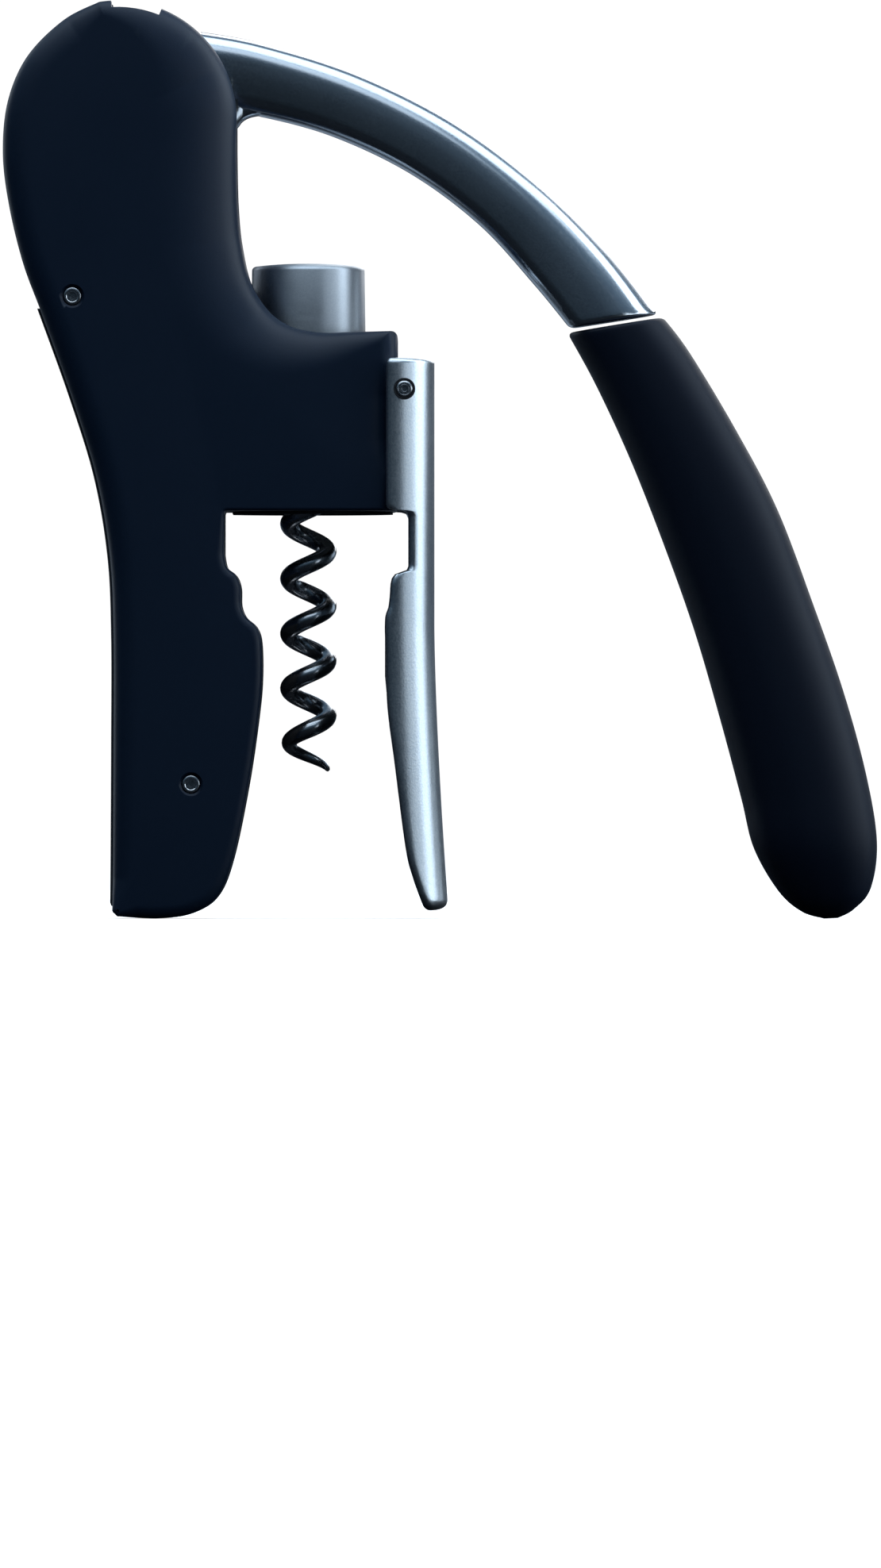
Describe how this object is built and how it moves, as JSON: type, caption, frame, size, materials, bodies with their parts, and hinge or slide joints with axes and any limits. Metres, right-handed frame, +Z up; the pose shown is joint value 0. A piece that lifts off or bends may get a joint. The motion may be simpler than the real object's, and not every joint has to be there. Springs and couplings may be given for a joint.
{
  "type": "lever corkscrew",
  "caption": "Compact lever corkscrew: a geared swinging lever lifts a rack and turns the worm out of the cork, while a hinged clamp and padded heel grip the bottle neck.",
  "frame": {"origin": "on the worm's axis, in the plane where the bottle's lip meets the ring", "axes": "+X from the worm to the clamp and the lever's grip, +Z up along the worm towards the lever, +Y across the tool to the far housing half"},
  "size_m": [0.1434, 0.0394, 0.1503],
  "materials": {
    "housing": "soft-touch coating, fine grain",
    "grip_skin": "soft-touch coating, smooth and matt",
    "spine_rubber": "ribbed soft strip",
    "pad_rubber": "moulded, matt",
    "barrel_plastic": "moulded, semi-gloss",
    "core_plastic": "moulded, fine texture",
    "nut_plastic": "natural acetal, smooth",
    "bush_brass": "turned",
    "satin_metal": "satin chrome, bead blasted",
    "gear_steel": "machined, lightly oiled",
    "carriage_metal": "die cast, satin",
    "fastener_steel": "bright plated",
    "spring_steel": "drawn, bright",
    "worm_steel": "polished, low-friction coating"
  },
  "bodies": {
    "housing": {"near_shell": "housing", "far_shell": "housing", "back_spine": "spine_rubber", "guide_barrel": "barrel_plastic", "neck_ring": "pad_rubber", "rear_neck_pad": "pad_rubber", "rack_guides": "barrel_plastic", "shaft_bushes": "bush_brass", "lever_stop": "pad_rubber", "shell_screws": "fastener_steel", "shell_nuts": "fastener_steel", "guide_nut": "nut_plastic", "nut_clip": "spring_steel", "clamp_pin": "fastener_steel"},
    "lever": {"lever_arm": "satin_metal", "sector_gear": "gear_steel", "gear_pins": "gear_steel", "lever_shaft": "gear_steel", "grip_core": "core_plastic", "lever_grip": "grip_skin", "grip_pins": "gear_steel"},
    "carriage": {"carriage": "carriage_metal", "rack": "gear_steel", "rack_screws": "fastener_steel", "carriage_cap": "satin_metal", "thrust_washers": "bush_brass"},
    "worm": {"worm": "worm_steel", "worm_circlip": "spring_steel"},
    "clamp": {"clamp_lever": "satin_metal", "clamp_pad": "pad_rubber", "pad_rivets": "fastener_steel", "clamp_bushes": "core_plastic"}
  },
  "joints": [
    {"name": "lever_swing", "type": "hinge", "parent": "housing", "child": "lever", "pos_m": [-0.031, 0, 0.0647], "axis": [0, -1, 0], "range_deg": [0, 178]},
    {"name": "carriage_slide", "type": "slide", "parent": "housing", "child": "carriage", "axis": [0, 0, 1], "range_m": [0, 0.0436]},
    {"name": "worm_spin", "type": "hinge", "parent": "carriage", "child": "worm", "pos_m": [0, 0, 0.03], "axis": [0, 0, 1], "range_deg": [0, 1741]},
    {"name": "clamp_hinge", "type": "hinge", "parent": "housing", "child": "clamp", "pos_m": [0.0158, 0, 0.0204], "axis": [0, -1, 0], "range_deg": [0, 22]}
  ],
  "couplings": [
    {"joint": "carriage_slide", "follows": "lever_swing", "m_per_rad": 0.014},
    {"joint": "worm_spin", "follows": "lever_swing", "ratio": 9.7738}
  ]
}
